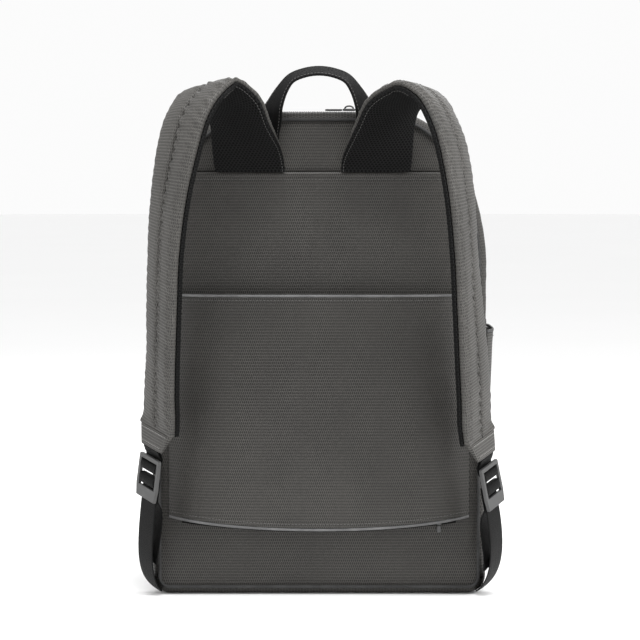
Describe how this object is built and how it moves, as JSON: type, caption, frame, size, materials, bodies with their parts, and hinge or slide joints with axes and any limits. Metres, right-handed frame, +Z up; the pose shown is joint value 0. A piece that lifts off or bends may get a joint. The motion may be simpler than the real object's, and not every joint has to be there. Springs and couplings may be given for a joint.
{
  "type": "laptop backpack",
  "caption": "Laptop backpack with a rounded top, padded back with a luggage sleeve, padded shoulder straps with ladder buckles, a grab handle, zips and a side pocket.",
  "frame": {"origin": "middle of the base, on the surface that the bag stands on", "axes": "+Z up, -Y towards the wearer's back, +X to the right seen from the wearer's side"},
  "size_m": [0.3393, 0.2784, 0.4895],
  "materials": {
    "shell_fabric": "coarse olive grey nylon weave with a slight sheen",
    "strap_fabric": "fine ribbed grey nylon weave, puckered over the padding",
    "mesh_lining": "black open air mesh",
    "black_webbing": "black woven webbing",
    "binding_tape": "grey folded binding with a row of stitches",
    "zip_tape": "black zip tape and coil",
    "zip_metal": "dark satin metal",
    "buckle_plastic": "dark grey moulded plastic"
  },
  "bodies": {
    "root": {"back_panel": "shell_fabric", "back_yoke": "shell_fabric", "front_panel": "shell_fabric", "gusset_rear": "shell_fabric", "gusset_front": "shell_fabric", "side_wall_left": "shell_fabric", "side_wall_right": "shell_fabric", "base_panel": "shell_fabric", "back_piping": "binding_tape", "front_piping": "binding_tape", "main_zip": "zip_tape", "main_zip_slider": "zip_metal", "main_zip_pull": "zip_tape", "luggage_sleeve": "shell_fabric", "sleeve_top_binding": "binding_tape", "sleeve_lower_binding": "binding_tape", "sleeve_zip": "zip_tape", "sleeve_zip_slider": "zip_metal", "sleeve_zip_pull": "zip_metal", "side_pocket": "shell_fabric", "side_pocket_binding": "binding_tape", "grab_handle": "black_webbing", "strap_pad_left": "strap_fabric", "strap_mesh_left": "mesh_lining", "strap_patch_left": "strap_fabric", "buckle_webbing_left": "black_webbing", "ladder_buckle_left": "buckle_plastic", "anchor_webbing_left": "black_webbing", "strap_pad_right": "strap_fabric", "strap_mesh_right": "mesh_lining", "strap_patch_right": "strap_fabric", "buckle_webbing_right": "black_webbing", "ladder_buckle_right": "buckle_plastic", "anchor_webbing_right": "black_webbing"}
  },
  "joints": []
}
